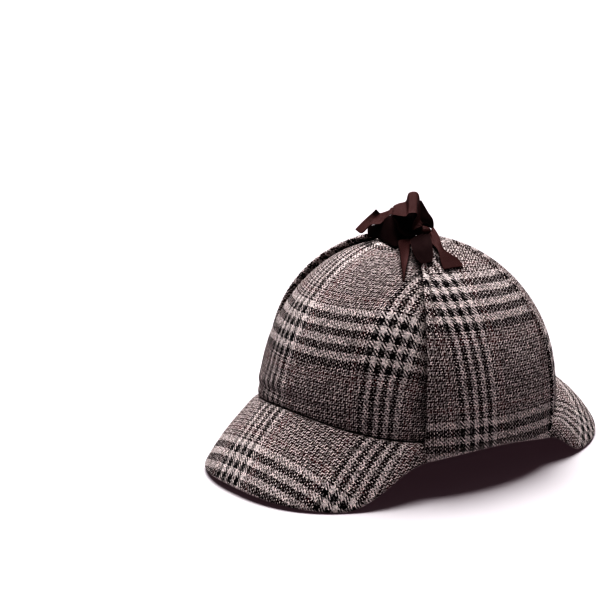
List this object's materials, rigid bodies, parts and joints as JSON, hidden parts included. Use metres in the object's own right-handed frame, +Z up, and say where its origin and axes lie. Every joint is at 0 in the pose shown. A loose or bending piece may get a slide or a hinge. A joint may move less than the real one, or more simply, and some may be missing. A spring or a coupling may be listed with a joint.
{
  "type": "deerstalker hat",
  "caption": "Checked wool deerstalker hat: domed crown, curved front and rear peaks, ear flaps folded up and tied over the top with a ribbon bow.",
  "frame": {"origin": "middle of the hat's footprint, on the surface that the peaks stand on", "axes": "+Z up, -Y to the front peak, +X to the wearer's left"},
  "size_m": [0.174, 0.2844, 0.1676],
  "materials": {
    "tweed": "matte wool twill in a beige and near-black glen check",
    "ribbon": "dark brown ribbon with a low sheen"
  },
  "bodies": {
    "root": {"crown_front_panel": "tweed", "crown_back_panel": "tweed", "crown_side_left": "tweed", "crown_side_right": "tweed", "front_peak": "tweed", "rear_peak": "tweed", "ear_flap_left": "tweed", "ear_flap_right": "tweed", "flap_ribbon_left": "ribbon", "flap_ribbon_right": "ribbon", "bow_knot": "ribbon", "bow_loop_front": "ribbon", "bow_loop_back": "ribbon", "bow_tail_left": "ribbon", "bow_tail_under": "ribbon", "bow_tail_near": "ribbon", "bow_tail_front": "ribbon"}
  },
  "joints": []
}
